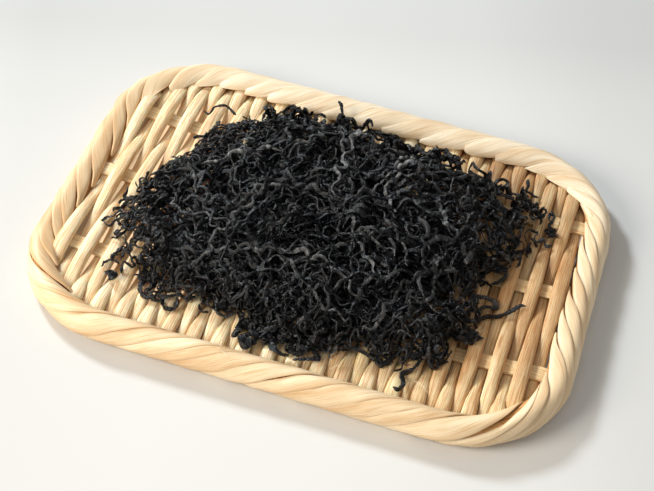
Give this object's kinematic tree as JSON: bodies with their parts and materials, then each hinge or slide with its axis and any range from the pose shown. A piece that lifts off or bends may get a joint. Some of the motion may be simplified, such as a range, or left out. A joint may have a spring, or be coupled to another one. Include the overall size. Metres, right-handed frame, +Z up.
{
  "type": "dried hijiki seaweed on woven bamboo tray",
  "caption": "Loose heap of black curly dried hijiki seaweed on a shallow rounded-rectangular woven bamboo tray with a rope-like border",
  "frame": {"origin": "on the table, under the middle of the tray", "axes": "+X along the tray's long side, +Y across it from the near long side to the far one, +Z up"},
  "size_m": [0.2398, 0.1778, 0.037],
  "materials": {
    "hijiki": "dried black seaweed, wrinkled, matte with a faint grey sheen",
    "bamboo_rod": "whittled pale bamboo rods, fine lengthwise grain, satin",
    "bamboo_slat": "flat split bamboo slats, fine lengthwise lines, satin",
    "bamboo_strip": "wide pale bamboo strips, smooth and lightly fibrous, satin"
  },
  "bodies": {
    "root": {"hijiki_heap": "hijiki", "rim_border": "bamboo_strip", "slat_near": "bamboo_slat", "slat_middle": "bamboo_slat", "slat_far": "bamboo_slat", "rod_01": "bamboo_rod", "rod_02": "bamboo_rod", "rod_03": "bamboo_rod", "rod_04": "bamboo_rod", "rod_05": "bamboo_rod", "rod_06": "bamboo_rod", "rod_07": "bamboo_rod", "rod_08": "bamboo_rod", "rod_09": "bamboo_rod", "rod_10": "bamboo_rod", "rod_11": "bamboo_rod", "rod_12": "bamboo_rod", "rod_13": "bamboo_rod", "rod_14": "bamboo_rod", "rod_15": "bamboo_rod", "rod_16": "bamboo_rod", "rod_17": "bamboo_rod", "rod_18": "bamboo_rod", "rod_19": "bamboo_rod", "rod_20": "bamboo_rod", "rod_21": "bamboo_rod", "rod_22": "bamboo_rod", "rod_23": "bamboo_rod", "rod_24": "bamboo_rod", "rod_25": "bamboo_rod", "rod_26": "bamboo_rod", "rod_27": "bamboo_rod", "rod_28": "bamboo_rod", "rod_29": "bamboo_rod", "rod_30": "bamboo_rod", "rod_31": "bamboo_rod", "rod_32": "bamboo_rod", "rod_33": "bamboo_rod", "rod_34": "bamboo_rod", "rod_35": "bamboo_rod", "rod_36": "bamboo_rod", "rod_37": "bamboo_rod", "rod_38": "bamboo_rod", "rod_39": "bamboo_rod", "rod_40": "bamboo_rod"}
  },
  "joints": []
}
